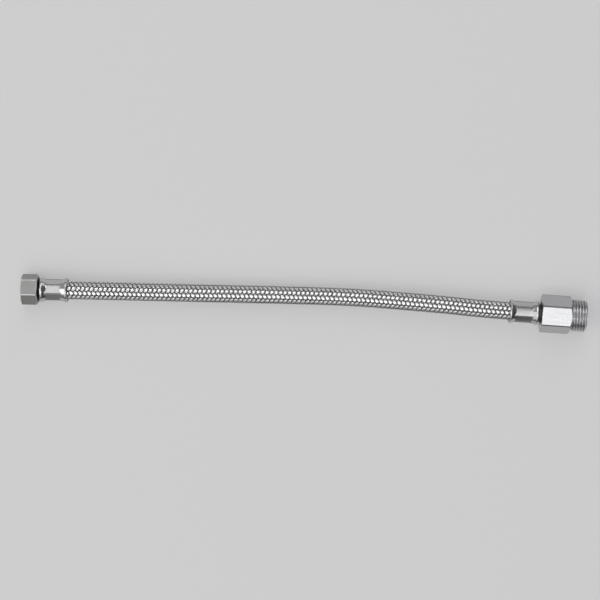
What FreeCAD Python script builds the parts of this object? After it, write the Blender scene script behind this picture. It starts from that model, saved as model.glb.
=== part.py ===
import FreeCAD
import Part
import Sketcher
import math
import os

from FreeCAD import Placement, Rotation, Vector

# A braided connecting hose with a loose union nut at its left end and a fixed male thread at its right end.
# It lies on the plane z = 0 along X. Lengths are in millimetres.
# Each end has its own axis. A piece on that axis is drawn with x = 0 where the hose is cut off and +x
# pointing out of the hose, and its Placement then lays it on the route.

# A size written as a formula starts with "=" and follows the sizes above it.
DRIVING_SIZES = [
    ("hose_outer_r", 6.1, "outer radius of the braid"),
    ("braid_wall", 0.6, "thickness of the braid's two layers of wire"),
    ("hose_bore_r", 4.0, "bore radius of the rubber tube"),
    ("slip_gap", 0.05, "clearance between pieces that slide over each other"),
    ("ferrule_wall", 0.8, "sheet thickness of a ferrule"),
    ("ferrule_length", 18.1, "length of a ferrule from shoulder to mouth"),
    ("ferrule_r", 8.05, "outer radius of a ferrule where it isn't crimped"),
    ("ferrule_shoulder", 1.7, "rounding of a ferrule's shoulder"),
    ("ferrule_lip", 0.3, "rounding of a ferrule's mouth"),
    ("crimp_length", 9.7, "length of the crimped stretch"),
    ("crimp_ridge_r", 7.35, "outer radius of the ridges between the crimp flats"),
    ("crimp_flat_r", 6.95, "distance of the crimp flats from the axis"),
    ("crimp_slope", 2.0, "length of the slope from full radius down to the crimp"),
    ("flat_runout", 0.9, "length of a flat's sloped end"),
    ("crimp_flats", 8, "number of crimp flats"),
    ("left_crimp_start", 4.5, "start of the left crimp from the ferrule's shoulder"),
    ("left_crimp_turn", 3.4, "turn of the left ferrule's flats in degrees"),
    ("right_crimp_start", 6.2, "start of the right crimp from the ferrule's shoulder"),
    ("right_crimp_turn", -13, "turn of the right ferrule's flats in degrees"),
    ("stem_grip_r", 4.6, "radius of the inserts where the ferrule's inner flange grips"),
    ("stem_root_r", 3.7, "radius of a stem between its barbs"),
    ("stem_length", 16.5, "length of a barbed stem inside the hose"),
    ("barb_pitch", 3.0, "distance from barb to barb"),
    ("barb_land", 0.5, "length of a barb's straight crest"),
    ("stem_bore_r", 3.2, "water bore radius through the stems"),
    ("nut_width", 18.0, "width of the union nut across flats"),
    ("nut_length", 11.2, "length of the union nut"),
    ("nut_turn", 16.6, "turn of the loose nut from lying flat in degrees"),
    ("nut_collar", 2.2, "thickness of the nut's rear wall"),
    ("nut_play", 0.9, "gap between the nut and the left ferrule"),
    ("nut_wall", 0.67, "wall between the nut's flats and the bottom of its thread"),
    ("nut_thread_major_r", "=nut_width / 2 - nut_wall", "radius at the bottom of the nut's thread"),
    ("nut_thread_depth", 0.855, "depth of the nut's thread"),
    ("nut_thread_r", "=nut_thread_major_r - nut_thread_depth", "radius inside the nut's thread"),
    ("nut_relief_length", 3.3, "length of the wider seat behind the nut's thread"),
    ("nut_relief_depth", 0.425, "how far the seat is wider than the thread's inside"),
    ("nut_relief_r", "=nut_thread_r + nut_relief_depth", "radius of the seat behind the nut's thread"),
    ("neck_r", 5.12, "radius of the neck that the nut turns on"),
    ("running_gap", 0.08, "radial clearance of the nut on its neck"),
    ("flange_gap", 0.225, "radial clearance of the flange inside the nut's thread"),
    ("flange_r", "=nut_thread_r - flange_gap", "radius of the left insert's flange"),
    ("flange_thickness", 1.6, "thickness of the left insert's flange"),
    ("washer_thickness", 1.6, "thickness of the sealing washer"),
    ("washer_r", "=flange_r - slip_gap", "outer radius of the sealing washer"),
    ("washer_bore_r", 4.5, "bore radius of the sealing washer"),
    ("fitting_neck_r", 5.6, "radius of the male fitting's neck"),
    ("fitting_gap", 1.6, "length of the male fitting's neck between ferrule and hexagon"),
    ("hex_width", 22.0, "width of the male fitting's hexagon across flats"),
    ("hex_length", 19.5, "length of the male fitting's hexagon"),
    ("relief_length", 1.3, "length of the groove behind the male thread"),
    ("relief_r", 9.3, "radius of the groove behind the male thread"),
    ("thread_r", 10.4775, "outer radius of the male thread"),
    ("thread_length", 8.9, "length of the male thread"),
    ("thread_chamfer", 1.1, "chamfer at the end of the male thread"),
    ("mouth_bore_r", 5.2, "water bore radius through thread and hexagon"),
    ("bore_cone", 2.0, "length of the cone between the wide and the narrow bore"),
    ("face_chamfer_rise", 0.1, "how far a hexagon's turned face stops short of its flats"),
    ("mouth_chamfer", 0.5, "small chamfer at a bore's mouth"),
]

# The middle line of the hose as it lies, from its cut end in the left ferrule to that in the right one.
# It hangs a little between the two fittings that it rests on, and bends towards -Y near the right end.
HOSE_ROUTE = [
    Vector(-171.9, 9.70, 10.11),
    Vector(-138.9, 9.01, 10.11),
    Vector(-92.0, 7.75, 9.15),
    Vector(-44.0, 6.50, 8.45),
    Vector(2.0, 5.45, 8.20),
    Vector(34.0, 4.30, 8.60),
    Vector(64.0, 2.05, 9.40),
    Vector(94.0, -0.50, 10.35),
    Vector(121.0, -3.39, 11.0),
    Vector(152.9, -5.62, 11.0),
]
# share of the shorter run that an arc uses up on each side of its point
ARC_SHARE = 0.45
# turned corners are cut at this angle from a hexagon's end face
CORNER_CUT_ANGLE = math.radians(30)
# the number of the sketch's own axis on which a coordinate is nought
ZERO_AXIS = {"DistanceX": -2, "DistanceY": -1}
ORIGIN = (-1, 1)
# how near an edge is to the place and radius that it is looked for by
EDGE_TOLERANCE = 1e-4

doc = FreeCAD.newDocument("flexible_hose")
sheet = doc.addObject("Spreadsheet::Sheet", "Sizes")
for row, (alias, value, note) in enumerate(DRIVING_SIZES, start=1):
    sheet.set(f"A{row}", note)
    sheet.set(f"B{row}", str(value))
    sheet.setAlias(f"B{row}", alias)
doc.recompute()


def size(alias):
    """The value of one size of the sheet."""
    return float(sheet.get(alias))


def cell(alias):
    """The expression that reads one size of the sheet."""
    return f"Sizes.{alias}"


# Stations along an end's axis, as expressions.
SHOULDER = f"({cell('slip_gap')} + {cell('ferrule_wall')})"
NUT_REAR = f"({SHOULDER} + {cell('nut_play')})"
NUT_FRONT = f"({NUT_REAR} + {cell('nut_length')})"
FLANGE_REAR = f"({NUT_REAR} + {cell('nut_collar')} + {cell('slip_gap')})"
FLANGE_FRONT = f"({FLANGE_REAR} + {cell('flange_thickness')})"
THREAD_START = f"({NUT_REAR} + {cell('nut_collar')} + {cell('nut_relief_length')})"
HEX_START = f"({SHOULDER} + {cell('fitting_gap')})"
HEX_END = f"({HEX_START} + {cell('hex_length')})"
THREAD_ROOT = f"({HEX_END} + {cell('relief_length')})"
FITTING_END = f"({THREAD_ROOT} + {cell('thread_length')})"
BARB_R = f"({cell('hose_bore_r')} - {cell('slip_gap')})"
FLANGE_HOLE_R = f"({cell('stem_grip_r')} + {cell('slip_gap')})"
CRIMP_BORE_R = f"({cell('hose_outer_r')} + {cell('slip_gap')})"


def new_body(label):
    body = doc.addObject("PartDesign::Body", label)
    body.Label = label
    return body


def origin_plane(body, role):
    return next(f for f in body.Origin.OriginFeatures if f.Role == role)


def new_sketch(body, name, role, offset=None):
    """An empty sketch on one of the body's origin planes, moved along its normal by an expression."""
    sketch = body.newObject("Sketcher::SketchObject", name)
    sketch.AttachmentSupport = [(origin_plane(body, role), "")]
    sketch.MapMode = "FlatFace"
    if offset:
        sketch.setExpression("AttachmentOffset.Base.z", offset)
    return sketch


def pin_coordinate(sketch, line, kind, expression):
    """Ties one coordinate of a line's start point to an expression, or to an axis where it is nought."""
    if expression == "0":
        sketch.addConstraint(Sketcher.Constraint("PointOnObject", line, 1, ZERO_AXIS[kind]))
        return
    start = sketch.Geometry[line].StartPoint
    now = start.x if kind == "DistanceX" else start.y
    index = sketch.addConstraint(Sketcher.Constraint(kind, *ORIGIN, line, 1, now))
    name = f"{kind}_{line}"
    sketch.renameConstraint(index, name)
    sketch.setExpression(f"Constraints.{name}", expression)


def evaluate(expression):
    """The number that an expression of the sheet's sizes gives."""
    return float(sheet.evalExpression(expression.replace("Sizes.", "")))


def profile_sketch(body, name, outline):
    """A closed outline on the XZ plane: x along the axis and y the radius, each corner two expressions."""
    sketch = new_sketch(body, name, "XZ_Plane")
    corners = [Vector(evaluate(x), evaluate(y), 0) for x, y in outline]
    count = len(corners)
    for i in range(count):
        sketch.addGeometry(Part.LineSegment(corners[i], corners[(i + 1) % count]))
    for i in range(count):
        sketch.addConstraint(Sketcher.Constraint("Coincident", i, 2, (i + 1) % count, 1))
    for i, (x, y) in enumerate(outline):
        pin_coordinate(sketch, i, "DistanceX", x)
        pin_coordinate(sketch, i, "DistanceY", y)
    return sketch


def turned(body, name, outline, cut=False):
    """Adds or cuts what the outline sweeps in a full turn about the body's X axis."""
    before = body.Shape.Volume if cut else 0
    sketch = profile_sketch(body, f"{name}_outline", outline)
    kind = "PartDesign::Groove" if cut else "PartDesign::Revolution"
    feature = body.newObject(kind, name)
    feature.Profile = sketch
    feature.ReferenceAxis = (sketch, ["H_Axis"])
    feature.Angle = 360
    doc.recompute()
    if cut and feature.Shape.Volume >= before:
        raise ValueError(f"{name} cuts nothing")
    return feature


def hexagon_sketch(body, name, width, turn, offset):
    """A hexagon across the X axis, its flats width apart, with a flat on top before it is turned."""
    sketch = new_sketch(body, name, "YZ_Plane", offset)
    corner_r = evaluate(f"{width} / 2") / math.cos(math.pi / 6)
    turn_now = math.radians(evaluate(turn))
    corners = []
    for i in range(6):
        angle = turn_now + i * math.pi / 3
        corners.append(Vector(corner_r * math.cos(angle), corner_r * math.sin(angle), 0))
    for i in range(6):
        sketch.addGeometry(Part.LineSegment(corners[i], corners[(i + 1) % 6]))
    guide = sketch.addGeometry(Part.Circle(Vector(0, 0, 0), Vector(0, 0, 1), corner_r), True)
    spoke = sketch.addGeometry(Part.LineSegment(Vector(0, 0, 0), corners[0]), True)
    for i in range(6):
        sketch.addConstraint(Sketcher.Constraint("Coincident", i, 2, (i + 1) % 6, 1))
        sketch.addConstraint(Sketcher.Constraint("PointOnObject", i, 1, guide))
    for i in range(5):
        sketch.addConstraint(Sketcher.Constraint("Equal", i, i + 1))
    sketch.addConstraint(Sketcher.Constraint("Coincident", guide, 3, *ORIGIN))
    sketch.addConstraint(Sketcher.Constraint("Coincident", spoke, 1, *ORIGIN))
    sketch.addConstraint(Sketcher.Constraint("Coincident", spoke, 2, 0, 1))
    radius = sketch.addConstraint(Sketcher.Constraint("Radius", guide, corner_r))
    sketch.renameConstraint(radius, "corner_r")
    sketch.setExpression("Constraints.corner_r", f"{width} / 2 / cos(30)")
    angle = sketch.addConstraint(Sketcher.Constraint("Angle", spoke, turn_now))
    sketch.renameConstraint(angle, "turn")
    sketch.setExpression("Constraints.turn", f"{turn} * 1 deg")
    return sketch


def hexagon(body, name, width, turn, start, end):
    """A hexagonal prism along X with its corners turned off at both end faces."""
    sketch = hexagon_sketch(body, f"{name}_sketch", width, turn, start)
    prism = body.newObject("PartDesign::Pad", name)
    prism.Profile = sketch
    prism.setExpression("Length", f"{end} - {start}")
    doc.recompute()
    face_r = f"({width} / 2 - {cell('face_chamfer_rise')})"
    outside_r = f"({width} * 0.6)"
    depth = f"(({outside_r} - {face_r}) * {math.tan(CORNER_CUT_ANGLE):.6f})"
    for side, face, inner in (("inner", start, f"{start} + {depth}"), ("outer", end, f"{end} - {depth}")):
        outline = [(face, face_r), (face, outside_r), (inner, outside_r)]
        turned(body, f"{name}_{side}_corners", outline, cut=True)


def barbed_stem():
    """The outline of a stem's outside, from the grip of the ferrule to the stem's tip and into its bore."""
    barbs = int(size("stem_length") // size("barb_pitch"))
    points = [(SHOULDER, cell("stem_grip_r")), ("0", cell("stem_grip_r")), ("0", cell("stem_root_r"))]
    for i in range(barbs):
        crest = f"(-({i} + 0.3) * {cell('barb_pitch')})"
        points.append((crest, cell("stem_root_r")))
        points.append((crest, BARB_R))
        points.append((f"({crest} - {cell('barb_land')})", BARB_R))
        points.append((f"(-({i} + 1) * {cell('barb_pitch')})", cell("stem_root_r")))
    tip = f"(-{cell('stem_length')})"
    points.append((tip, cell("stem_root_r")))
    points.append((tip, cell("stem_bore_r")))
    return points


def make_union_nut():
    body = new_body("union_nut")
    hexagon(body, "nut_hexagon", cell("nut_width"), cell("nut_turn"), NUT_REAR, NUT_FRONT)
    collar_front = f"({NUT_REAR} + {cell('nut_collar')})"
    hole_r = f"({cell('neck_r')} + {cell('running_gap')})"
    mouth_r = f"({cell('nut_thread_major_r')} + {cell('slip_gap')})"
    cone = f"({mouth_r} - {cell('nut_thread_r')})"
    bore = [
        (NUT_REAR, "0"),
        (NUT_REAR, f"({hole_r} + {cell('mouth_chamfer')})"),
        (f"({NUT_REAR} + {cell('mouth_chamfer')})", hole_r),
        (collar_front, hole_r),
        (collar_front, cell("nut_relief_r")),
        (THREAD_START, cell("nut_relief_r")),
        (THREAD_START, cell("nut_thread_r")),
        (f"({NUT_FRONT} - {cone})", cell("nut_thread_r")),
        (NUT_FRONT, mouth_r),
        (NUT_FRONT, "0"),
    ]
    turned(body, "nut_bore", bore, cut=True)
    return body


def make_left_insert():
    body = new_body("left_insert")
    mouth = f"({cell('stem_bore_r')} + {cell('mouth_chamfer')})"
    outline = [
        (f"({FLANGE_FRONT} - {cell('mouth_chamfer')})", cell("stem_bore_r")),
        (FLANGE_FRONT, mouth),
        (FLANGE_FRONT, cell("flange_r")),
        (FLANGE_REAR, cell("flange_r")),
        (FLANGE_REAR, cell("neck_r")),
        (SHOULDER, cell("neck_r")),
    ]
    turned(body, "insert_turning", outline + barbed_stem())
    return body


def make_sealing_washer():
    body = new_body("sealing_washer")
    front = f"({FLANGE_FRONT} + {cell('washer_thickness')})"
    outline = [
        (FLANGE_FRONT, cell("washer_bore_r")),
        (front, cell("washer_bore_r")),
        (front, cell("washer_r")),
        (FLANGE_FRONT, cell("washer_r")),
    ]
    turned(body, "washer_ring", outline)
    return body


def ring_edges(shape, x, radius):
    """Names of the round edges of this radius about the X axis at station x."""
    names = []
    for number, edge in enumerate(shape.Edges, start=1):
        curve = edge.Curve
        if isinstance(curve, Part.Circle) and abs(curve.Center.x - x) < EDGE_TOLERANCE:
            if abs(curve.Radius - radius) < EDGE_TOLERANCE:
                names.append(f"Edge{number}")
    return names


def make_ferrule(label, crimp_start):
    """A deep-drawn sleeve: flange and rounded shoulder in front, crimped middle with flats, flared mouth."""
    body = new_body(label)
    crimp_from = f"({SHOULDER} - {crimp_start})"
    crimp_to = f"({crimp_from} - {cell('crimp_length')})"
    slope = cell("crimp_slope")
    wall = cell("ferrule_wall")
    full_r = cell("ferrule_r")
    inner_r = f"({full_r} - {wall})"
    mouth = f"({SHOULDER} - {cell('ferrule_length')})"
    flange_back = f"({SHOULDER} - {wall})"
    # the mouth's slope ends at the mouth where the crimp reaches nearly to it
    mouth_slope = f"min({slope}; {crimp_to} - {mouth} - {cell('ferrule_lip')} * 2)"
    outline = [
        (SHOULDER, FLANGE_HOLE_R),
        (SHOULDER, full_r),
        (f"({crimp_from} + {slope})", full_r),
        (crimp_from, cell("crimp_ridge_r")),
        (crimp_to, cell("crimp_ridge_r")),
        (f"({crimp_to} - {mouth_slope})", full_r),
        (mouth, full_r),
        (mouth, inner_r),
        (f"({crimp_to} - {mouth_slope})", inner_r),
        (crimp_to, CRIMP_BORE_R),
        (crimp_from, CRIMP_BORE_R),
        (f"({crimp_from} + {slope})", inner_r),
        (flange_back, inner_r),
        (flange_back, FLANGE_HOLE_R),
    ]
    sleeve = turned(body, f"{label}_sleeve", outline)

    shoulder = body.newObject("PartDesign::Fillet", f"{label}_shoulder")
    shoulder.Base = (sleeve, ring_edges(sleeve.Shape, evaluate(SHOULDER), size("ferrule_r")))
    shoulder.setExpression("Radius", cell("ferrule_shoulder"))
    doc.recompute()
    lip = body.newObject("PartDesign::Fillet", f"{label}_lip")
    mouth_now = evaluate(mouth)
    lip_edges = ring_edges(shoulder.Shape, mouth_now, size("ferrule_r"))
    lip_edges += ring_edges(shoulder.Shape, mouth_now, evaluate(inner_r))
    lip.Base = (shoulder, lip_edges)
    lip.setExpression("Radius", cell("ferrule_lip"))
    doc.recompute()

    top = f"({full_r} + {wall})"
    runout = cell("flat_runout")
    flat = [
        (f"({crimp_from} + {runout})", top),
        (crimp_from, cell("crimp_flat_r")),
        (crimp_to, cell("crimp_flat_r")),
        (f"({crimp_to} - {runout})", top),
    ]
    flat_sketch = profile_sketch(body, f"{label}_flat_outline", flat)
    before = lip.Shape.Volume
    one_flat = body.newObject("PartDesign::Pocket", f"{label}_flat")
    one_flat.Profile = flat_sketch
    one_flat.Midplane = True
    one_flat.setExpression("Length", f"{full_r}")
    doc.recompute()
    if one_flat.Shape.Volume >= before:
        raise ValueError(f"{label}: the crimp flat cuts nothing")
    flats = body.newObject("PartDesign::PolarPattern", f"{label}_flats")
    flats.Originals = [one_flat]
    flats.Axis = (flat_sketch, ["H_Axis"])
    flats.Angle = 360
    flats.setExpression("Occurrences", cell("crimp_flats"))
    body.Tip = flats
    doc.recompute()
    return body


def make_male_fitting():
    body = new_body("male_fitting")
    hexagon(body, "fitting_hexagon", cell("hex_width"), "0", HEX_START, HEX_END)
    chamfer = cell("thread_chamfer")
    outline = [
        (FITTING_END, cell("mouth_bore_r")),
        (FITTING_END, f"({cell('thread_r')} - {chamfer})"),
        (f"({FITTING_END} - {chamfer})", cell("thread_r")),
        (THREAD_ROOT, cell("thread_r")),
        (THREAD_ROOT, cell("relief_r")),
        (HEX_START, cell("relief_r")),
        (HEX_START, cell("fitting_neck_r")),
        (SHOULDER, cell("fitting_neck_r")),
    ]
    bore_end = f"({HEX_START} + {cell('bore_cone')})"
    inside = [(HEX_START, cell("stem_bore_r")), (bore_end, cell("mouth_bore_r"))]
    turned(body, "fitting_turning", outline + barbed_stem() + inside)
    bore = [
        (HEX_START, "0"),
        (HEX_START, cell("stem_bore_r")),
        (bore_end, cell("mouth_bore_r")),
        (FITTING_END, cell("mouth_bore_r")),
        (FITTING_END, "0"),
    ]
    turned(body, "fitting_bore", bore, cut=True)
    return body


def rounded_route(points):
    """Straight runs joined by tangent arcs, each arc as large as its two runs allow."""
    edges = []
    radii = []
    here = points[0]
    for before, corner, after in zip(points, points[1:], points[2:]):
        arriving = (corner - before).normalize()
        leaving = (after - corner).normalize()
        run = min(corner.distanceToPoint(before), corner.distanceToPoint(after))
        turn = arriving.getAngle(leaving)
        reach = ARC_SHARE * run
        radius = reach / math.tan(turn / 2)
        start = corner - arriving * reach
        end = corner + leaving * reach
        inward = (leaving - arriving).normalize()
        centre = corner + inward * math.hypot(radius, reach)
        middle = centre - inward * radius
        edges.append(Part.LineSegment(here, start).toShape())
        edges.append(Part.Arc(start, middle, end).toShape())
        radii.append(radius)
        here = end
    edges.append(Part.LineSegment(here, points[-1]).toShape())
    return Part.Wire(edges), radii


def hose_sweep(name, radius, path):
    """A round bar along the route."""
    ring = doc.addObject("Part::Circle", f"{name}_ring")
    ring.setExpression("Radius", radius)
    start = HOSE_ROUTE[0]
    ring.Placement = Placement(start, Rotation(Vector(0, 0, 1), HOSE_ROUTE[1] - start))
    bar = doc.addObject("Part::Sweep", name)
    bar.Sections = [ring]
    bar.Spine = (path, [f"Edge{i + 1}" for i in range(len(path.Shape.Edges))])
    bar.Solid = True
    bar.Frenet = False
    return bar


def hose_tube(label, outer, inner):
    tube = doc.addObject("Part::Cut", label)
    tube.Label = label
    tube.Base = outer
    tube.Tool = inner
    return tube


def make_hose():
    """The rubber tube and the braid around it, both cut off at the two ends of the route."""
    path = doc.addObject("Part::Feature", "hose_path")
    wire, radii = rounded_route(HOSE_ROUTE)
    path.Shape = wire
    print("hose length", round(wire.Length, 1), "arc radii", [round(r) for r in radii])
    braid_inner = f"{cell('hose_outer_r')} - {cell('braid_wall')}"
    rubber_outer = f"{braid_inner} - {cell('slip_gap')}"
    braid = hose_tube(
        "wire_braid",
        hose_sweep("braid_outside", cell("hose_outer_r"), path),
        hose_sweep("braid_inside", braid_inner, path),
    )
    rubber = hose_tube(
        "inner_hose",
        hose_sweep("rubber_outside", rubber_outer, path),
        hose_sweep("rubber_inside", cell("hose_bore_r"), path),
    )
    doc.recompute()
    for tube, outer, inner in ((braid, size("hose_outer_r"), evaluate(braid_inner)),
                               (rubber, evaluate(rubber_outer), size("hose_bore_r"))):
        expected = math.pi * (outer ** 2 - inner ** 2) * wire.Length
        if abs(tube.Shape.Volume - expected) > 0.002 * expected:
            raise ValueError(f"{tube.Label}: {tube.Shape.Volume} mm3 instead of {expected} mm3")
    return [braid, rubber]


def lay_on_end(bodies, cut_end, next_point, turns):
    """Lays pieces drawn about X on the axis of one end of the hose, +x pointing out of the hose."""
    outward = cut_end - next_point
    yaw = math.degrees(math.atan2(outward.y, outward.x))
    for body, turn in zip(bodies, turns):
        roll = Rotation(Vector(1, 0, 0), turn)
        body.Placement = Placement(cut_end, Rotation(Vector(0, 0, 1), yaw) * roll)


def check_and_write(pieces):
    for item in doc.Objects:
        if "Invalid" in item.State or "Error" in item.State:
            raise ValueError(f"{item.Name} failed: {item.State}")
    os.makedirs("parts", exist_ok=True)
    for piece in pieces:
        shape = piece.Shape
        if shape.isNull() or not shape.isValid() or len(shape.Solids) != 1:
            raise ValueError(f"{piece.Label} has no single valid solid")
        shape.exportStep(f"parts/{piece.Label}.step")
        print(piece.Label, "volume", round(shape.Volume, 1))


union_nut = make_union_nut()
left_insert = make_left_insert()
sealing_washer = make_sealing_washer()
left_ferrule = make_ferrule("left_ferrule", cell("left_crimp_start"))
right_ferrule = make_ferrule("right_ferrule", cell("right_crimp_start"))
male_fitting = make_male_fitting()
hose_pieces = make_hose()
lay_on_end(
    [union_nut, left_insert, sealing_washer, left_ferrule],
    HOSE_ROUTE[0],
    HOSE_ROUTE[1],
    [0, 0, 0, size("left_crimp_turn")],
)
lay_on_end(
    [male_fitting, right_ferrule],
    HOSE_ROUTE[-1],
    HOSE_ROUTE[-2],
    [0, size("right_crimp_turn")],
)
doc.recompute()
check_and_write(
    [union_nut, sealing_washer, left_insert, left_ferrule, right_ferrule, male_fitting] + hose_pieces
)
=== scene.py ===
import math

import bmesh
import bpy
import numpy as np
from mathutils import Matrix, Vector


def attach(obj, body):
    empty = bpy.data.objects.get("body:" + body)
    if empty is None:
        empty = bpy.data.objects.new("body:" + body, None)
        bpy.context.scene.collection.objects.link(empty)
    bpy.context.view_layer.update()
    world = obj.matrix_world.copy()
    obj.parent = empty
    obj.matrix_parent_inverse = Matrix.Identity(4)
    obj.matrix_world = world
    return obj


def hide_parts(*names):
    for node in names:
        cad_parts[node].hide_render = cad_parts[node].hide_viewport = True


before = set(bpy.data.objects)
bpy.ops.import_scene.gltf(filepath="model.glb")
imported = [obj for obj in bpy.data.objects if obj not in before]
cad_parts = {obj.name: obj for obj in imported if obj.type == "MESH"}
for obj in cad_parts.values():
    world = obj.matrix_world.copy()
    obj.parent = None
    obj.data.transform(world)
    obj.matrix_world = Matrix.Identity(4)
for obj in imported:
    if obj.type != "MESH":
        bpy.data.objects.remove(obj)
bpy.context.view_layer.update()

# A braided hose with a loose union nut (left) and a fixed male thread (right), in metres, in the CAD frame.
# The rubber tube, the braid, the nut, the ferrules and the male fitting are built here, in place of their CAD
# nodes. The left insert and the washer are the CAD nodes with a finish.

MM = 0.001
FULL_TURN = 2 * math.pi
QUARTER_TURN = math.pi / 2
SIXTH_TURN = math.pi / 3
UP = Vector((0, 0, 1))

# The control points of the hose's middle line in millimetres, the same as in the CAD source's route.
HOSE_ROUTE = [
    (-171.9, 9.70, 10.11),
    (-138.9, 9.01, 10.11),
    (-92.0, 7.75, 9.15),
    (-44.0, 6.50, 8.45),
    (2.0, 5.45, 8.20),
    (34.0, 4.30, 8.60),
    (64.0, 2.05, 9.40),
    (94.0, -0.50, 10.35),
    (121.0, -3.39, 11.0),
    (152.9, -5.62, 11.0),
]
ROUTE = [Vector(p) * MM for p in HOSE_ROUTE]

# Camera: above the hose, 8 degrees past upright towards +Y, so that +X is to the right.
CAMERA_TILT = math.radians(8)
CAMERA_TARGET = Vector((-0.0026, 0.00289, 0.0105))
CAMERA_DISTANCE = 1.3028
CAMERA_CLIP = (0.01, 100)
PHOTO_SIZE = 600
FOCAL_PIXELS = 1985
SENSOR_WIDTH = 36
TO_CAMERA = Vector((0, math.sin(CAMERA_TILT), math.cos(CAMERA_TILT)))


def new_object(name, data):
    made = bpy.data.objects.new(name, data)
    bpy.context.scene.collection.objects.link(made)
    return made


def make_camera():
    data = bpy.data.cameras.new("camera")
    data.sensor_width = SENSOR_WIDTH
    data.lens = SENSOR_WIDTH * FOCAL_PIXELS / PHOTO_SIZE
    data.clip_start, data.clip_end = CAMERA_CLIP
    camera = new_object("camera", data)
    right = Vector((1, 0, 0))
    turn = Matrix((right, TO_CAMERA.cross(right), TO_CAMERA)).transposed()
    camera.matrix_world = Matrix.Translation(CAMERA_TARGET + TO_CAMERA * CAMERA_DISTANCE) @ turn.to_4x4()
    bpy.context.scene.camera = camera


# Meshes

MERGE_DISTANCE = 2e-7


def mesh_of(name, points, faces):
    """A mesh from an array of points in metres and a list of faces."""
    mesh = bpy.data.meshes.new(name)
    mesh.from_pydata(points.tolist(), [], faces)
    mesh.update()
    return mesh


def set_attribute(mesh, name, values):
    """Keeps a number for each point of the mesh, which its material reads."""
    mesh.attributes.new(name, "FLOAT", "POINT").data.foreach_set("value", values)


def finish_mesh(mesh, sharp_angle, merge=True):
    """Turns all faces outwards and marks sharp edges.

    With merge, it first joins points that coincide and drops faces without area."""
    work = bmesh.new()
    work.from_mesh(mesh)
    if merge:
        bmesh.ops.remove_doubles(work, verts=work.verts, dist=MERGE_DISTANCE)
        bmesh.ops.dissolve_degenerate(work, edges=work.edges, dist=MERGE_DISTANCE)
    bmesh.ops.recalc_face_normals(work, faces=work.faces)
    work.to_mesh(mesh)
    work.free()
    mesh.shade_smooth()
    mesh.set_sharp_from_angle(angle=math.radians(sharp_angle))


def grid_quads(rings, per_ring, close_rings, join_ends):
    """Quads between rings of points. Each ring may close on itself, and the last may join the first."""
    first = np.arange(per_ring if close_rings else per_ring - 1)
    second = (first + 1) % per_ring
    quads = []
    for i in range(rings if join_ends else rings - 1):
        j = (i + 1) % rings
        quads.append(np.stack([i * per_ring + first, i * per_ring + second,
                               j * per_ring + second, j * per_ring + first], axis=1))
    return np.concatenate(quads)


def ease(value, start, end):
    """A smooth rise from 0 at start to 1 at end."""
    share = np.clip((value - start) / (end - start), 0, 1)
    return share * share * (3 - 2 * share)


# Bodies of revolution, threads and hexagons

class End:
    """One end of the hose: its cut-off point and the axis that points out of the hose."""

    def __init__(self, cut, inner):
        self.cut = np.array(cut)
        self.axis = np.array((cut - inner).normalized())
        self.side = np.cross(np.array(UP), self.axis)

    def place(self, station, radius, angle):
        """Points at these stations along the axis, radii and angles, all in millimetres and radians."""
        ring = np.cos(angle)[:, None] * self.side + np.sin(angle)[:, None] * np.array(UP)
        return self.cut + (station[:, None] * self.axis + radius[:, None] * ring) * MM


LEFT = End(ROUTE[0], ROUTE[1])
RIGHT = End(ROUTE[-1], ROUTE[-2])

COLUMN_STEP = math.radians(2)
HEX_CORNER_ROUNDING = 1.1
# where a hexagon's corner gets columns, as shares of the angle from it to the start of its flats
CORNER_COLUMNS = (-1.12, -1, -0.75, -0.5, -0.25, 0, 0.25, 0.5, 0.75, 1, 1.12)
# how far a corner's cone reaches along the hexagon, for each millimetre that it takes off
CORNER_CUT = math.tan(math.radians(30))
FRONT_CORNER_CUT = math.tan(math.radians(18))
SLIGHT_CORNER_CUT = math.tan(math.radians(10))
THREAD_ROWS_PER_PITCH = 12
# the thread's profile: how far it has fallen from crest to root, by the share of the way between them
THREAD_WAY = (0, 1 / 3, 5 / 6, 1)
THREAD_FALL = (0, 0.05, 0.95, 1)

# Painted shade above 0 makes the metal darker and duller; below 0 it is a painted highlight, lighter and
# smoother.
DEEP_SHADE = 0.9
THREAD_SHADE = 0.1
CORNER_SHADE = 0.75
GROOVE_SHADE = 0.4
CORNER_HIGHLIGHT = 0.5
REAR_EDGE_HIGHLIGHT = 0.3
# painted shade and highlight at a corner fade out up to here, as a share of the angle from it to the start of
# its flats
CORNER_FADE_END = 1.1


def off_corner(angles, turn):
    """The angle from the nearest corner of a hexagon."""
    return np.abs((angles - turn + SIXTH_TURN / 2) % SIXTH_TURN - SIXTH_TURN / 2)


def corner_of(across_flats):
    """Where a hexagon's rounded corner has its centre, and the angle off the corner where its flats start."""
    centre = (across_flats / 2 - HEX_CORNER_ROUNDING) / math.cos(SIXTH_TURN / 2)
    start = math.atan2(HEX_CORNER_ROUNDING / 2, centre + HEX_CORNER_ROUNDING * math.cos(SIXTH_TURN / 2))
    return centre, start


def at_corners(angles, across_flats, turn, fade_start):
    """1 at a hexagon's corners and 0 on its flats."""
    return 1 - ease(off_corner(angles, turn) / corner_of(across_flats)[1], fade_start, CORNER_FADE_END)


def with_corners(turn, corners, offsets):
    """Angles of columns all round, and more at these offsets from each corner. The last closes the turn."""
    angles = list(np.arange(0, FULL_TURN, COLUMN_STEP))
    for corner in range(corners):
        middle = turn + corner * FULL_TURN / corners
        angles += [(middle + offset) % FULL_TURN for offset in offsets]
    angles = sorted(set(np.round(angles, 6)))
    return np.array(angles + [angles[0] + FULL_TURN])


def hexagon_columns(across_flats, turn):
    rounding = corner_of(across_flats)[1]
    return with_corners(turn, 6, [share * rounding for share in CORNER_COLUMNS])


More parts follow.
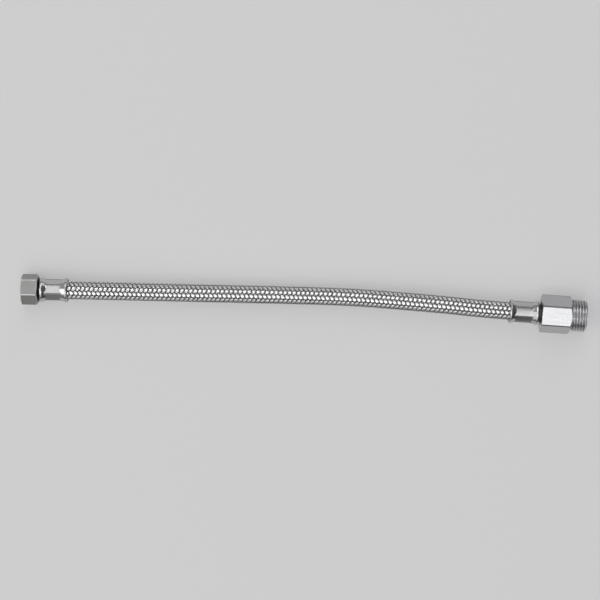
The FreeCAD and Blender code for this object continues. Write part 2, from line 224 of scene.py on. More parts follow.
def hexagon_radius(angles, across_flats, turn):
    """The distance of a hexagon's outline from its middle, its corners rounded."""
    off = off_corner(angles, turn)
    flat = across_flats / 2 / np.cos(SIXTH_TURN / 2 - off)
    centre, rounding = corner_of(across_flats)
    under_root = HEX_CORNER_ROUNDING ** 2 - (centre * np.sin(off)) ** 2
    rounded = centre * np.cos(off) + np.sqrt(np.maximum(under_root, 0))
    return np.where(off < rounding, rounded, flat)


def hexagon_rows(angles, across_flats, turn, start, end, face_r, start_cut=CORNER_CUT, end_cut=CORNER_CUT):
    """The four rows of a hexagon from face to face, with its corners turned off in a cone at both."""
    outline = hexagon_radius(angles, across_flats, turn)
    rise = outline - face_r
    return [
        (start, face_r),
        (start + rise * start_cut, outline),
        (end - rise * end_cut, outline),
        (end, face_r),
    ]


def thread_rows(angles, start, end, pitch, crest_r, root_r, limit):
    """The rows of a right-hand thread between two stations; limit gives what a chamfer leaves of a radius."""
    share = angles / FULL_TURN
    rows = []
    for k in range(int(THREAD_ROWS_PER_PITCH * ((end - start) / pitch + 2)) + 2):
        free = start + (k / THREAD_ROWS_PER_PITCH + share - 1) * pitch
        station = np.clip(free, start, end)
        phase = (station - start) / pitch - share
        off_crest = np.abs((phase + 0.5) % 1 - 0.5) * 2
        fall = np.interp(off_crest, THREAD_WAY, THREAD_FALL)
        # painted shade, growing towards the thread's roots
        rows.append((station, limit(station, crest_r + (root_r - crest_r) * fall), THREAD_SHADE * fall))
    return rows


def lathe(name, end, angles, rows, sharp_angle):
    """A closed body from rows of (station, radius, painted shade and highlight), each a number or one for
    every column.
    """
    ones = np.ones(len(angles))
    rings = []
    painted_shade_and_highlight = []
    for station, radius, *dark in rows:
        rings.append(end.place(station * ones, radius * ones, angles))
        painted_shade_and_highlight.append((dark[0] if dark else 0) * ones)
    quads = grid_quads(len(rings), len(angles), close_rings=False, join_ends=True)
    mesh = mesh_of(name, np.concatenate(rings), quads.tolist())
    set_attribute(mesh, "painted_shade_and_highlight", np.concatenate(painted_shade_and_highlight))
    finish_mesh(mesh, sharp_angle)
    return new_object(name, mesh)


# The end pieces: stations along the axis from the end's cut-off point, and radii, in millimetres. Nearly all
# are as in the CAD source.
TURNED_SHARP_ANGLE = 28
FACE_CHAMFER_RISE = 0.1
FACE_RIM = 0.1
SMALL_CHAMFER = 0.5

NUT_WIDTH = 18
NUT_TURN = math.radians(16.6)
NUT_REAR = 2.35
NUT_FRONT = 12.95
NUT_COLLAR_FRONT = 3.95
NUT_HOLE_R = 5.2
NUT_RELIEF_R = 7.9
NUT_THREAD_START = 7.25
NUT_THREAD_PITCH = 1.337
NUT_THREAD_R = 7.475
NUT_THREAD_MAJOR_R = 8.33
NUT_MOUTH_R = NUT_THREAD_MAJOR_R + 0.05
NUT_HIGHLIGHT_FADE_START = 0.6
REAR_EDGE_WIDTH = 0.6

SHOULDER = 0.85
HEX_WIDTH = 22
HEX_START = 2.45
HEX_END = 21.95
HEX_SHADE_FADE_START = 0.7
THREAD_ROOT = 23.25
FITTING_END = 32.15
RELIEF_R = 9.3
THREAD_R = 10.4775
THREAD_DEPTH = 1.162
THREAD_PITCH = 1.814
THREAD_CHAMFER = 1.1
NECK_R = 5.6
REAR_SHADE_R = NECK_R + 1.5
REAR_UNSHADED_R = NECK_R + 2.5
MOUTH_BORE_R = 5.2
STEM_BORE_R = 3.2
BORE_TAPER = 2
STEM_LENGTH = 16.5
STEM_ROOT_R = 3.7
STEM_GRIP_R = 4.6
BARB_R = 3.95
BARB_PITCH = 3
BARB_CREST_SHARE = 0.3
BARB_CREST_WIDTH = 0.5


def nut_thread_limit(station, radius):
    return np.maximum(radius, NUT_MOUTH_R - (NUT_FRONT - station))


def make_nut():
    angles = hexagon_columns(NUT_WIDTH, NUT_TURN)
    face_r = NUT_WIDTH / 2 - FACE_CHAMFER_RISE
    # a painted highlight along the nut's corners
    tone_shift = -CORNER_HIGHLIGHT * at_corners(angles, NUT_WIDTH, NUT_TURN, NUT_HIGHLIGHT_FADE_START)
    rear_face, rear, front, front_face = hexagon_rows(
        angles, NUT_WIDTH, NUT_TURN, NUT_REAR, NUT_FRONT, face_r, end_cut=FRONT_CORNER_CUT)
    rows = [
        # painted shade over the rear face and round the rear of the hole; a painted highlight along the rear
        # edge
        (NUT_REAR, face_r - FACE_RIM, DEEP_SHADE),
        rear_face,
        (*rear, np.minimum(tone_shift, -REAR_EDGE_HIGHLIGHT)),
        (rear[0] + REAR_EDGE_WIDTH, rear[1], tone_shift),
        (*front, tone_shift),
        front_face,
    ]
    rows += reversed(thread_rows(angles, NUT_THREAD_START, NUT_FRONT, NUT_THREAD_PITCH,
                                 NUT_THREAD_R, NUT_THREAD_MAJOR_R, nut_thread_limit))
    rows += [
        (NUT_THREAD_START, NUT_RELIEF_R),
        (NUT_COLLAR_FRONT, NUT_RELIEF_R),
        (NUT_COLLAR_FRONT, NUT_HOLE_R),
        (NUT_REAR + SMALL_CHAMFER, NUT_HOLE_R, DEEP_SHADE),
        (NUT_REAR, NUT_HOLE_R + SMALL_CHAMFER, DEEP_SHADE),
    ]
    nut = lathe("union_nut_threaded", LEFT, angles, rows, TURNED_SHARP_ANGLE)
    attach(nut, "nut")
    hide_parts("union_nut")
    return nut


def male_thread_limit(station, radius):
    return np.minimum(radius, THREAD_R - THREAD_CHAMFER + FITTING_END - station)


def make_fitting():
    angles = hexagon_columns(HEX_WIDTH, 0)
    face_r = HEX_WIDTH / 2 - FACE_CHAMFER_RISE
    # painted shade along the hexagon's corners, standing in for a dark reflection
    dark = CORNER_SHADE * at_corners(angles, HEX_WIDTH, 0, HEX_SHADE_FADE_START)
    rear_face, rear, front, front_face = hexagon_rows(
        angles, HEX_WIDTH, 0, HEX_START, HEX_END, face_r, start_cut=SLIGHT_CORNER_CUT)
    rows = [
        (SHOULDER, STEM_GRIP_R),
        # painted shade in the neck and on the hexagon's rear face round it
        (SHOULDER, NECK_R, DEEP_SHADE),
        (HEX_START, NECK_R, DEEP_SHADE),
        (HEX_START, REAR_SHADE_R, DEEP_SHADE),
        (HEX_START, REAR_UNSHADED_R),
        (HEX_START, face_r - FACE_RIM),
        rear_face,
        (*rear, dark),
        (*front, dark),
        front_face,
        # painted shade in the groove before the thread
        (HEX_END, RELIEF_R, GROOVE_SHADE),
        (THREAD_ROOT, RELIEF_R, GROOVE_SHADE),
    ]
    rows += thread_rows(angles, THREAD_ROOT, FITTING_END, THREAD_PITCH,
                        THREAD_R, THREAD_R - THREAD_DEPTH, male_thread_limit)
    rows += [
        (FITTING_END, MOUTH_BORE_R),
        (HEX_START + BORE_TAPER, MOUTH_BORE_R),
        (HEX_START, STEM_BORE_R),
        (-STEM_LENGTH, STEM_BORE_R),
        (-STEM_LENGTH, STEM_ROOT_R),
    ]
    for barb in reversed(range(int(STEM_LENGTH // BARB_PITCH))):
        crest = -(barb + BARB_CREST_SHARE) * BARB_PITCH
        rows += [
            (-(barb + 1) * BARB_PITCH, STEM_ROOT_R),
            (crest - BARB_CREST_WIDTH, BARB_R),
            (crest, BARB_R),
            (crest, STEM_ROOT_R),
        ]
    rows += [(0, STEM_ROOT_R), (0, STEM_GRIP_R)]
    fitting = lathe("male_fitting_threaded", RIGHT, angles, rows, TURNED_SHARP_ANGLE)
    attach(fitting, "hose")
    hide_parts("male_fitting")
    return fitting


# The ferrules

PRESSED_SHARP_ANGLE = 45
FERRULE_R = 8.05
FERRULE_WALL = 0.7
FERRULE_HOLE_R = 4.72
DOME_FACE_R = 6.3
DOME_ROWS = 9
CRIMP_RIDGE_R = 7.42
CRIMP_FLAT_R = 6.95
CRIMP_FLATS = 8
CRIMP_EDGE = 0.06
# where a ridge between two flats gets columns, in degrees from its middle
RIDGE_COLUMNS = (-4, -3, -2.2, -1.5, -0.8, 0, 0.8, 1.5, 2.2, 3, 4)
# rows are close together where the flats run out, from this far outside the crimp to this far inside it
RUN_OUT = 1.5
RUN_IN = 0.5
# rows of the five stretches from the top of the dome to that of the mouth, with both ends of each counted
CRIMP_ROWS = (4, 11, 5, 11, 5)
FLAT_CURVE = 0.2
CREASE_DEPTH = 0.03
CREASE_WIDTH = math.radians(3.4)
CREASE_SHADE = 0.8
CREASE_FADE = 0.05
LIP_DROP = 0.75
LIP_WALL = 0.3
LIP_ROWS = 8
INNER_DOME_R = FERRULE_R - 1
INNER_FACE_R = FERRULE_R - 2.2


class Ferrule:
    """Stations of a ferrule, from its end at the fitting to its mouth on the hose, and its flats' turn."""

    def __init__(self, end, face, dome_top, crimp_start, crimp_end, mouth_top, mouth, flats_turn):
        self.end = end
        self.face = face
        self.dome_top = dome_top
        self.crimp_start = crimp_start
        self.crimp_end = crimp_end
        self.mouth_top = mouth_top
        self.mouth = mouth
        self.flats_turn = math.radians(flats_turn)


LEFT_FERRULE = Ferrule(LEFT, face=1.85, dome_top=-0.1, crimp_start=-3.3, crimp_end=-12.2,
                       mouth_top=-15.8, mouth=-17.2, flats_turn=10.5)
RIGHT_FERRULE = Ferrule(RIGHT, face=0.85, dome_top=-0.3, crimp_start=-3.9, crimp_end=-14.4,
                        mouth_top=-17.1, mouth=-18.1, flats_turn=-8)


def larger(first, second):
    """The larger of two radii, with the edge between them rounded off."""
    return (first + second + np.sqrt((first - second) ** 2 + CRIMP_EDGE ** 2)) / 2


def crimp_stations(ferrule):
    """The stations of the rows between the top of the dome and that of the mouth."""
    stops = (ferrule.dome_top, ferrule.crimp_start + RUN_OUT, ferrule.crimp_start - RUN_IN,
             ferrule.crimp_end + RUN_IN, ferrule.crimp_end - RUN_OUT, ferrule.mouth_top)
    runs = [np.linspace(start, stop, count)[1:] for start, stop, count in zip(stops, stops[1:], CRIMP_ROWS)]
    return np.concatenate(runs)


def crimp_rows(ferrule, angles):
    """The rows of the crimped middle, where the shoulder and the flare run out into the flats."""
    flat_step = FULL_TURN / CRIMP_FLATS
    off_flat = (angles - ferrule.flats_turn + flat_step / 2) % flat_step - flat_step / 2
    crease = np.exp(-((flat_step / 2 - np.abs(off_flat)) / CREASE_WIDTH) ** 2)
    facet = CRIMP_FLAT_R / np.cos(off_flat) ** (1 - FLAT_CURVE)
    flat = -larger(-facet, -CRIMP_RIDGE_R) - CREASE_DEPTH * crease
    rise = FERRULE_R - CRIMP_FLAT_R
    rows = []
    for station in crimp_stations(ferrule):
        shoulder = FERRULE_R - rise * (ferrule.dome_top - station) / (ferrule.dome_top - ferrule.crimp_start)
        flare = FERRULE_R - rise * (station - ferrule.mouth_top) / (ferrule.crimp_end - ferrule.mouth_top)
        ends = np.maximum(shoulder, flare)
        # painted shade in the creases between the flats
        dark = CREASE_SHADE * crease * ease(flat - ends, -CREASE_FADE, CREASE_FADE)
        rows.append((station, larger(flat, ends), dark))
    return rows


def make_ferrule(node, ferrule):
    """A pressed sleeve: domed shoulder, crimped middle with eight flats, and a mouth that flares again."""
    ridges_turn = ferrule.flats_turn + FULL_TURN / CRIMP_FLATS / 2
    angles = with_corners(ridges_turn, CRIMP_FLATS, [math.radians(offset) for offset in RIDGE_COLUMNS])
    # painted shade round the hole in the face
    rows = [(ferrule.face, FERRULE_HOLE_R, DEEP_SHADE)]
    for t in np.linspace(0, QUARTER_TURN, DOME_ROWS):
        station = ferrule.dome_top + (ferrule.face - ferrule.dome_top) * math.cos(t)
        rows.append((station, DOME_FACE_R + (FERRULE_R - DOME_FACE_R) * math.sin(t)))
    rows += crimp_rows(ferrule, angles)
    lip = ferrule.mouth_top - ferrule.mouth
    for t in np.linspace(0, QUARTER_TURN, LIP_ROWS)[1:]:
        rows.append((ferrule.mouth_top - lip * math.sin(t), FERRULE_R - LIP_DROP * (1 - math.cos(t))))
    rows += [
        # painted shade inside the mouth
        (ferrule.mouth + LIP_WALL, FERRULE_R - LIP_DROP - LIP_WALL, DEEP_SHADE),
        (ferrule.crimp_end, CRIMP_FLAT_R - FERRULE_WALL, DEEP_SHADE),
        (ferrule.crimp_start, CRIMP_FLAT_R - FERRULE_WALL),
        (ferrule.dome_top, INNER_DOME_R),
        (ferrule.face - FERRULE_WALL, INNER_FACE_R),
        (ferrule.face - FERRULE_WALL, FERRULE_HOLE_R),
    ]
    made = lathe(f"{node}_pressed", ferrule.end, angles, rows, PRESSED_SHARP_ANGLE)
    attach(made, "hose")
    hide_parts(node)
    return made


# The hose

LINE_RESOLUTION = 40
RUBBER_SHARP_ANGLE = 40
RUBBER_OUTER = 5.45 * MM
RUBBER_BORE = 4.0 * MM
RUBBER_COLUMNS = 48
RUBBER_RINGS = 240


class HoseLine:
    """The smooth middle line of the hose, with a frame at each point that keeps towards the camera."""

    def __init__(self, points):
        curve = bpy.data.curves.new("hose_line", "CURVE")
        curve.dimensions = "3D"
        curve.resolution_u = LINE_RESOLUTION
        spline = curve.splines.new("NURBS")
        spline.points.add(len(points) - 1)
        for point, place in zip(spline.points, points):
            point.co = (*place, 1)
        spline.order_u = 3
        spline.use_endpoint_u = True
        carrier = bpy.data.objects.new("hose_line", curve)
        mesh = bpy.data.meshes.new_from_object(carrier)
        self.points = np.array([v.co for v in mesh.vertices], float)
        bpy.data.meshes.remove(mesh)
        bpy.data.objects.remove(carrier)
        bpy.data.curves.remove(curve)
        steps = np.linalg.norm(np.diff(self.points, axis=0), axis=1)
        self.along = np.concatenate([[0], np.cumsum(steps)])
        self.length = self.along[-1]
        tangents = np.gradient(self.points, self.along, axis=0)
        self.tangents = tangents / np.linalg.norm(tangents, axis=1)[:, None]
        toward = np.array(TO_CAMERA)
        normals = toward - (self.tangents @ toward)[:, None] * self.tangents
        self.normals = normals / np.linalg.norm(normals, axis=1)[:, None]
        self.sides = np.cross(self.normals, self.tangents)

    def _at(self, values, along):
        return np.stack([np.interp(along, self.along, values[:, k]) for k in range(3)], axis=-1)

    def place(self, along, radius, angle):
        """Points at this far along the line, and this far and at this angle from it. Angle 0 is on top."""
        outward = self._at(self.normals, along) * np.cos(angle)[..., None]
        outward = outward + self._at(self.sides, along) * np.sin(angle)[..., None]
        return self._at(self.points, along) + outward * radius[..., None]


line = HoseLine(ROUTE)


def tube_ring(station, radius):
    angle = np.linspace(0, FULL_TURN, RUBBER_COLUMNS, endpoint=False)
    return line.place(np.full(RUBBER_COLUMNS, station), np.full(RUBBER_COLUMNS, radius), angle)


def make_rubber():
    stations = np.linspace(0, line.length, RUBBER_RINGS)
    rings = [tube_ring(station, RUBBER_OUTER) for station in stations]
    rings += [tube_ring(station, RUBBER_BORE) for station in stations[::-1]]
    quads = grid_quads(len(rings), RUBBER_COLUMNS, close_rings=True, join_ends=True)
    mesh = mesh_of("rubber_tube", np.concatenate(rings), quads.tolist())
    finish_mesh(mesh, RUBBER_SHARP_ANGLE)
    rubber = new_object("rubber_tube", mesh)
    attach(rubber, "hose")
    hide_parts("inner_hose")
    return rubber


# The braid: 12 strands each way, each over two and under two, so that the strands on top make rows of
# "/" and "\" along the hose.
BRAID_SHARP_ANGLE = 75
STRANDS_EACH_WAY = 12
STRANDS_PER_PIECE = 4
# the length over which a strand goes once round the hose
LAY = 35.3 * MM
BRAID_R = 5.79 * MM
WEAVE_RISE = 0.185 * MM
WEAVE_SHARPNESS = 1.7
STRAND_CROWN = 0.05 * MM
# how wide a strand is where it is spread out and where it is drawn together, as shares of its section's width
STRAND_SPREAD = 1.2
STRAND_PINCH = 0.58
# where a strand is sampled within its repeat of four crossings, over at 0 and 1 and under at 2 and 3
SAMPLES = (-0.25, 0, 0.25, 0.5, 0.75, 1, 1.25, 1.5, 1.85, 2.5, 3.15, 3.5)
CROSSINGS_PER_REPEAT = 4
# where the first crossing of each "/" strand is. That of the others is as far to the other side.
FIRST_CROSSING = math.radians(7.5)
ROW_TWIST_START = math.radians(-4.5)
ROW_TWIST_CHANGE = math.radians(6)
# the stretch over which the twist changes, in shares of the hose's length
ROW_TWIST_FROM = 0.2
ROW_TWIST_TO = 0.45

WIRES = 7
WIRE_R = 0.13 * MM
WIRE_SPACING = 0.245 * MM
# points of a strand's section, in shares of a wire's radius
RIB_HALF = 0.5
RIB_TOP = 0.86
GROOVE_HEIGHT = 0.5
STRAND_EDGE = 0.1
STRAND_UNDERSIDE = -0.9


def row_twist(along):
    """How far the braid's rows are turned about the hose, as they wander in the photo."""
    return ROW_TWIST_START + ROW_TWIST_CHANGE * ease(along / line.length, ROW_TWIST_FROM, ROW_TWIST_TO)


def strand_section():
    """A strand's cross-section: sideways and upward offsets of its points, ribbed by its wires on top."""
    half = (WIRES - 1) / 2
    across = []
    upward = []
    for wire in range(WIRES):
        middle = (wire - half) * WIRE_SPACING
        groove = STRAND_EDGE if wire == 0 else GROOVE_HEIGHT
        across += [middle - WIRE_SPACING / 2, middle - RIB_HALF * WIRE_R, middle + RIB_HALF * WIRE_R]
        upward += [groove * WIRE_R, RIB_TOP * WIRE_R, RIB_TOP * WIRE_R]
    edge = half * WIRE_SPACING
    across += [edge + WIRE_SPACING / 2, edge, -edge]
    upward += [STRAND_EDGE * WIRE_R, STRAND_UNDERSIDE * WIRE_R, STRAND_UNDERSIDE * WIRE_R]
    across = np.array(across)
    crown = STRAND_CROWN * (across / (edge + WIRE_SPACING / 2)) ** 2
    return across, np.array(upward) - crown


def weave_wave(step):
    """1 at the middle of a strand's two crossings over, and -1 at that of its two under."""
    return np.cos((step - 0.5) * QUARTER_TURN)


def weave(step):
    """Height of a strand in its repeat of four crossings: 1 where it lies over, -1 where under."""
    return np.tanh(WEAVE_SHARPNESS * weave_wave(step)) / math.tanh(WEAVE_SHARPNESS)


def spread(step):
    """Width of a strand: drawn together where it changes sides, and spread out between."""
    return STRAND_PINCH + (STRAND_SPREAD - STRAND_PINCH) * weave_wave(step) ** 2


def strand_points(way, number):
    """The rings of one strand. way is 1 for a strand that climbs towards the image's top as it goes right."""
    across, upward = strand_section()
    crossing = LAY / (2 * STRANDS_EACH_WAY)
    turn_step = math.pi / STRANDS_EACH_WAY
    shift = -2 * number + (0 if way == 1 else 1)
    first = math.floor(-shift / CROSSINGS_PER_REPEAT) - 1
    stop = math.ceil((line.length / crossing - shift) / CROSSINGS_PER_REPEAT) + 1
    repeats = range(first, stop)
    steps = np.array([CROSSINGS_PER_REPEAT * repeat + sample for repeat in repeats for sample in SAMPLES])
    along = (steps + shift) * crossing
    angle = way * (FIRST_CROSSING + steps * turn_step)
    slope = math.atan2(BRAID_R * turn_step, crossing)
    margin = (WIRES + 1) / 2 * WIRE_SPACING
    inside = (along > margin) & (along < line.length - margin)
    steps, along, angle = steps[inside], along[inside], angle[inside]
    height = BRAID_R + WEAVE_RISE * weave(steps)
    across = across * spread(steps)[:, None]
    at = along[:, None] - across * math.sin(slope)
    turned = angle[:, None] + way * across * math.cos(slope) / BRAID_R + row_twist(at)
    points = line.place(at, height[:, None] + upward, turned)
    lift = np.repeat((weave(steps) + 1) / 2, len(upward))
    return points.reshape(-1, 3), lift, len(steps), len(upward)


def make_braid_piece(name, way, numbers):
    """Strands of one way as one piece, each a ribbed bar with both its ends closed."""
    points = []
    lifts = []
    faces = []
    start = 0
    for number in numbers:
        strand, lift, rings, per_ring = strand_points(way, number)
        stop = start + len(strand)
        faces += (grid_quads(rings, per_ring, close_rings=True, join_ends=False) + start).tolist()
        faces.append(list(range(start, start + per_ring)))
        faces.append(list(range(stop - 1, stop - per_ring - 1, -1)))
        points.append(strand)
        lifts.append(lift)
        start = stop
    mesh = mesh_of(name, np.concatenate(points), faces)
    # the weave's height, which the wire's material turns into painted shade where the strands dip under
    set_attribute(mesh, "lift", np.concatenate(lifts))
    finish_mesh(mesh, BRAID_SHARP_ANGLE, merge=False)
    piece = new_object(name, mesh)
    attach(piece, "hose")
    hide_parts("wire_braid")
    return piece


def make_braid():
    pieces = []
    for way, letter in ((1, "a"), (-1, "b")):
        for first in range(0, STRANDS_EACH_WAY, STRANDS_PER_PIECE):
            name = f"braid_{letter}{first // STRANDS_PER_PIECE + 1}"
            pieces.append(make_braid_piece(name, way, range(first, first + STRANDS_PER_PIECE)))
    return pieces


# Materials

def grey(level):
    return (level, level, level)


# the nut's steel is the fitting's chrome made darker: its own colour and painted shade
NUT_COLOUR_AND_SHADE = (0.31, 0.31, 0.305)
FITTING_COLOUR = (0.53, 0.53, 0.545)
FERRULE_COLOUR = grey(0.57)
# the insert's steel is nearly black: painted shade in the gap between the nut and the ferrule
INSERT_SHADE_COLOUR = grey(0.05)
RUBBER_COLOUR = grey(0.02)
FIBRE_COLOUR = grey(0.03)
# the colours of painted shade and of painted highlights on the metals
SHADE_COLOUR = grey(0.03)
HIGHLIGHT_COLOUR = grey(0.95)
# painted shade of the wire where the strands dip under each other
WIRE_SHADE_COLOUR = grey(0.04)
WIRE_BRIGHT = grey(0.88)

# the marks on the turned pieces are drawn out along X
TURNED_GRAIN = (0.15, 1, 1)
EVEN_GRAIN = (1, 1, 1)
MARK_SCALE = 900
MARK_DETAIL = 4
MARK_BUMP = 0.02
PATCH_SCALE = 140
PATCH_DETAIL = 3
METAL_TONES = 0.04
ROUGHNESS_SPREAD = 0.2
SHADE_ROUGHNESS = 0.25
WIRE_PATCH_SCALE = 260
WIRE_TONES = 0.12
WIRE_SHADE_FADE_START = 0.55
WIRE_DULL_ROUGHNESS = 0.34
WIRE_BRIGHT_ROUGHNESS = 0.2
MATT_DETAIL = 2
MATT_TONES = 0.2
MATT_BUMP = 0.2
BUMP_DISTANCE = 0.0001


class Graph:
    """The nodes of a material or of the world. An input takes a number, a colour or another node's output."""

    def __init__(self, tree):
        self.nodes = tree.nodes
        self.links = tree.links

    def put(self, socket, value):
        if isinstance(value, bpy.types.NodeSocket):
            self.links.new(value, socket)
        elif isinstance(value, (int, float)):
            socket.default_value = value
        else:
            socket.default_value = (*value, 1)

    def coordinates(self, kind):
        return self.nodes.new("ShaderNodeTexCoord").outputs[kind]

    def stretched(self, place, scale):
        made = self.nodes.new("ShaderNodeMapping")
        made.inputs["Scale"].default_value = scale
        self.put(made.inputs["Vector"], place)
        return made.outputs["Vector"]

    def noise(self, place, scale, detail):
        made = self.nodes.new("ShaderNodeTexNoise")
        self.put(made.inputs["Vector"], place)
        self.put(made.inputs["Scale"], scale)
        self.put(made.inputs["Detail"], detail)
        return made.outputs["Fac"]

    def attribute(self, name):
        made = self.nodes.new("ShaderNodeAttribute")
        made.attribute_name = name
        return made.outputs["Fac"]

    def mix(self, share, first, second):
        """A colour between two. The sockets of a colour mix are found by number."""
        made = self.nodes.new("ShaderNodeMix")
        made.data_type = "RGBA"
        self.put(made.inputs[0], share)
        self.put(made.inputs[6], first)
        self.put(made.inputs[7], second)
        return made.outputs[2]

    def scaled(self, colour, factor):
        made = self.nodes.new("ShaderNodeVectorMath")
        made.operation = "SCALE"
        self.put(made.inputs[0], colour)
        self.put(made.inputs["Scale"], factor)
        return made.outputs[0]

    def calculate(self, operation, *values, clamp=False):
        made = self.nodes.new("ShaderNodeMath")
        made.operation = operation
        made.use_clamp = clamp
        for socket, value in zip(made.inputs, values):
            self.put(socket, value)
        return made.outputs["Value"]

    def between(self, value, low, high, start=0, end=1, smooth=False):
        """Low where the value is at start, and high where it is at end."""
        made = self.nodes.new("ShaderNodeMapRange")
        made.interpolation_type = "SMOOTHSTEP" if smooth else "LINEAR"
        self.put(made.inputs["Value"], value)
        self.put(made.inputs["From Min"], start)
        self.put(made.inputs["From Max"], end)
        self.put(made.inputs["To Min"], low)
        self.put(made.inputs["To Max"], high)
        return made.outputs["Result"]

    def bump(self, height, strength):
        made = self.nodes.new("ShaderNodeBump")
        self.put(made.inputs["Height"], height)
        self.put(made.inputs["Strength"], strength)
        self.put(made.inputs["Distance"], BUMP_DISTANCE)
        return made.outputs["Normal"]


def principled(name):
    """A new material, its graph and its shader."""
    material = bpy.data.materials.new(name)
    material.use_nodes = True
    return material, Graph(material.node_tree), material.node_tree.nodes["Principled BSDF"]


def toned(colour, share):
    """A colour made lighter by this share of itself, or darker where the share is negative."""
    return [min(c * (1 + share), 1) for c in colour]


def metal(name, colour, roughness, grain=EVEN_GRAIN):
    """Bright metal: its colour and roughness vary a little, with fine marks drawn out along grain.

    Where the mesh's painted shade is above 0, in grooves, creases, recesses and along some corners, it is
    darker and duller. Where it is below 0, on corners and edges, it is a painted highlight, lighter and
    smoother."""
    material, graph, shader = principled(name)
    place = graph.coordinates("Object")
    patches = graph.noise(place, PATCH_SCALE, PATCH_DETAIL)
    marks = graph.noise(graph.stretched(place, grain), MARK_SCALE, MARK_DETAIL)
    painted_shade_and_highlight = graph.attribute("painted_shade_and_highlight")
    highlight_share = graph.calculate("MULTIPLY", painted_shade_and_highlight, -1, clamp=True)
    own_tone = graph.mix(patches, toned(colour, -METAL_TONES), toned(colour, METAL_TONES))
    shaded = graph.mix(painted_shade_and_highlight, own_tone, SHADE_COLOUR)
    gloss = graph.between(marks, roughness * (1 - ROUGHNESS_SPREAD), roughness * (1 + ROUGHNESS_SPREAD))
    graph.put(shader.inputs["Metallic"], 1)
    graph.put(shader.inputs["Base Color"], graph.mix(highlight_share, shaded, HIGHLIGHT_COLOUR))
    graph.put(shader.inputs["Roughness"], graph.calculate("MULTIPLY_ADD", painted_shade_and_highlight, SHADE_ROUGHNESS, gloss))
    graph.put(shader.inputs["Normal"], graph.bump(marks, MARK_BUMP))
    return material


def wire():
    """Drawn wire, with painted shade where the strands dip under each other, and its own bright colour where
    they lie over.
    """
    material, graph, shader = principled("wire_steel")
    patches = graph.noise(graph.coordinates("Object"), WIRE_PATCH_SCALE, PATCH_DETAIL)
    out_of_shade = graph.between(graph.attribute("lift"), 0, 1, start=WIRE_SHADE_FADE_START, smooth=True)
    tone = graph.mix(out_of_shade, WIRE_SHADE_COLOUR, WIRE_BRIGHT)
    tone_shift = graph.between(patches, 1 - WIRE_TONES, 1 + WIRE_TONES)
    gloss = graph.between(out_of_shade, WIRE_DULL_ROUGHNESS, WIRE_BRIGHT_ROUGHNESS)
    graph.put(shader.inputs["Metallic"], 1)
    graph.put(shader.inputs["Base Color"], graph.scaled(tone, tone_shift))
    graph.put(shader.inputs["Roughness"], gloss)
    return material


def matt(name, colour, roughness, grain_scale):
    """Rubber or fibre: a matt surface with a fine grain."""
    material, graph, shader = principled(name)
    grain = graph.noise(graph.coordinates("Object"), grain_scale, MATT_DETAIL)
    tone = graph.mix(grain, toned(colour, -MATT_TONES), toned(colour, MATT_TONES))
    graph.put(shader.inputs["Base Color"], tone)
    graph.put(shader.inputs["Roughness"], roughness)
    graph.put(shader.inputs["Normal"], graph.bump(grain, MATT_BUMP))
    return material


def paint(piece, material):
    piece.data.materials.clear()
    piece.data.materials.append(material)


# Stage: floor, lamps and world

FLOOR_REACH = 12
FLOOR_CLEARANCE = 0.00002
FLOOR_COLOUR = grey(0.76)
FLOOR_ROUGHNESS = 0.9
BACKDROP = grey(0.6)
BACKDROP_SHARE = 0.5

# Name, place, size and radiance of the lamps that face straight down, and of those that face the hose.
OVERHEAD_LAMPS = (
    ("softbox_above", (0.12, -1.8, 4.0), (1.12, 2.4), 2.6),
    ("softbox_above_near", (0.28, 0.16, 4.0), (0.94, 1.52), 1.5),
    ("softbox_above_right", (0.97, -1.28, 4.0), (0.58, 2.14), 2.2),
    ("softbox_above_left", (-2.22, -0.52, 4.0), (3.56, 3.66), 0.8),
)
AIMED_LAMPS = (
    ("softbox_front", (-0.6, -3.3, 3.0), (3.6, 2.0), 0.8),
    ("softbox_left", (-3.1, -0.6, 2.2), (3.2, 2.6), 1.35),
    ("softbox_back", (-0.1, 3.0, 3.0), (1.1, 1.8), 3.2),
    ("softbox_back_right", (0.95, 3.3, 1.7), (1.5, 2.0), 1.3),
    ("softbox_middle", (0.0, 1.9, 3.6), (0.9, 1.6), 2.2),
)

# The world's greys from the front (0) over the top to the back (1), and how much is left of them at the
# right, with the values of X between which they fall.
WORLD_GREYS = ((0.36, 0.22), (0.62, 0.4), (0.94, 0.4), (0.99, 0.2))
WORLD_RIGHT_SHARE = 0.28
WORLD_FALL = (-0.08, 0.12)


def make_floor():
    """A pale floor. Half of what the camera and the metal see of it is even, which keeps its shadows light."""
    corners = [(-1, -1), (1, -1), (1, 1), (-1, 1)]
    points = np.array([(x * FLOOR_REACH, y * FLOOR_REACH, 0) for x, y in corners])
    floor = new_object("floor", mesh_of("floor", points, [(0, 1, 2, 3)]))
    floor.location.z = -FLOOR_CLEARANCE
    material, graph, shader = principled("floor")
    graph.put(shader.inputs["Base Color"], FLOOR_COLOUR)
    graph.put(shader.inputs["Roughness"], FLOOR_ROUGHNESS)
    graph.put(shader.inputs["Specular IOR Level"], 0)
    even = graph.nodes.new("ShaderNodeEmission")
    graph.put(even.inputs["Color"], BACKDROP)
    path = graph.nodes.new("ShaderNodeLightPath").outputs
    seen = graph.calculate("ADD", path["Is Camera Ray"], path["Is Glossy Ray"])
    seen = graph.calculate("ADD", seen, path["Is Transmission Ray"], clamp=True)
    both = graph.nodes.new("ShaderNodeMixShader")
    graph.put(both.inputs["Fac"], graph.calculate("MULTIPLY", seen, BACKDROP_SHARE))
    graph.put(both.inputs[1], shader.outputs["BSDF"])
    graph.put(both.inputs[2], even.outputs["Emission"])
    graph.put(graph.nodes["Material Output"].inputs["Surface"], both.outputs["Shader"])
    paint(floor, material)


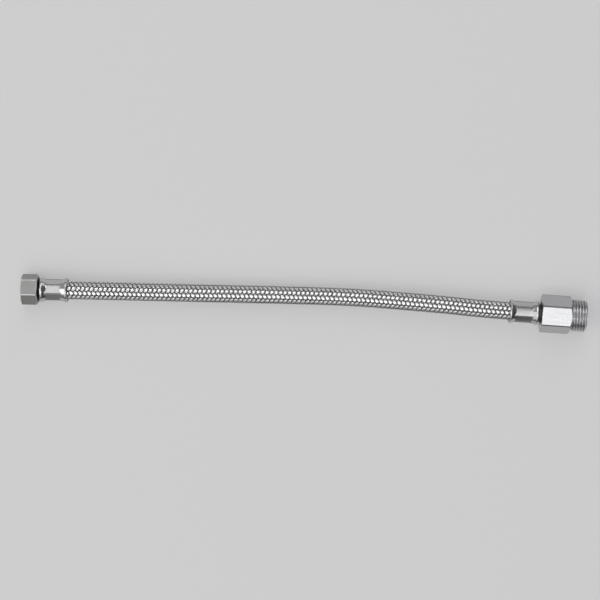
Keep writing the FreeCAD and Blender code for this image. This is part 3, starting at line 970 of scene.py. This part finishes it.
def lamp(name, place, size, radiance, target=(0, 0, 0)):
    """A rectangular soft lamp that faces the target, its brightness given as radiance."""
    data = bpy.data.lights.new(name, "AREA")
    data.shape = "RECTANGLE"
    data.size, data.size_y = size
    data.energy = radiance * math.pi * size[0] * size[1]
    made = new_object(name, data)
    made.location = place
    back = (Vector(place) - Vector(target)).normalized()
    made.rotation_mode = "QUATERNION"
    made.rotation_quaternion = back.to_track_quat("Z", "Y")
    made.visible_camera = False


def make_world():
    world = bpy.data.worlds.new("world")
    bpy.context.scene.world = world
    world.use_nodes = True
    graph = Graph(world.node_tree)
    parts = graph.nodes.new("ShaderNodeSeparateXYZ")
    graph.put(parts.inputs["Vector"], graph.coordinates("Generated"))
    ramp = graph.nodes.new("ShaderNodeValToRGB")
    elements = ramp.color_ramp.elements
    elements[0].position = WORLD_GREYS[0][0]
    elements[1].position = WORLD_GREYS[-1][0]
    for position, level in WORLD_GREYS[1:-1]:
        elements.new(position)
    for element, (position, level) in zip(elements, WORLD_GREYS):
        element.color = (*grey(level), 1)
    graph.put(ramp.inputs["Fac"], graph.between(parts.outputs["Y"], 0, 1, start=-1))
    fall_start, fall_end = WORLD_FALL
    rightward = graph.between(parts.outputs["X"], 1, WORLD_RIGHT_SHARE, fall_start, fall_end, smooth=True)
    background = graph.nodes["Background"]
    graph.put(background.inputs["Color"], graph.scaled(ramp.outputs["Color"], rightward))
    graph.put(background.inputs["Strength"], 1)


make_camera()
rubber = make_rubber()
braid = make_braid()
nut = make_nut()
fitting = make_fitting()
left_ferrule = make_ferrule("left_ferrule", LEFT_FERRULE)
right_ferrule = make_ferrule("right_ferrule", RIGHT_FERRULE)

paint(nut, metal("nut_steel", NUT_COLOUR_AND_SHADE, roughness=0.24, grain=TURNED_GRAIN))
ferrule_steel = metal("ferrule_steel", FERRULE_COLOUR, roughness=0.2)
paint(left_ferrule, ferrule_steel)
paint(right_ferrule, ferrule_steel)
paint(fitting, metal("fitting_steel", FITTING_COLOUR, roughness=0.28, grain=TURNED_GRAIN))
paint(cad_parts["left_insert"], metal("insert_steel", INSERT_SHADE_COLOUR, roughness=0.5))
wire_steel = wire()
for piece in braid:
    paint(piece, wire_steel)
paint(rubber, matt("rubber", RUBBER_COLOUR, roughness=0.55, grain_scale=1500))
paint(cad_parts["sealing_washer"], matt("fibre", FIBRE_COLOUR, roughness=0.8, grain_scale=2500))

make_floor()
for name, place, size, radiance in OVERHEAD_LAMPS:
    lamp(name, place, size, radiance, target=(place[0], place[1], 0))
for name, place, size, radiance in AIMED_LAMPS:
    lamp(name, place, size, radiance)
make_world()
bpy.context.scene.view_settings.view_transform = "Standard"
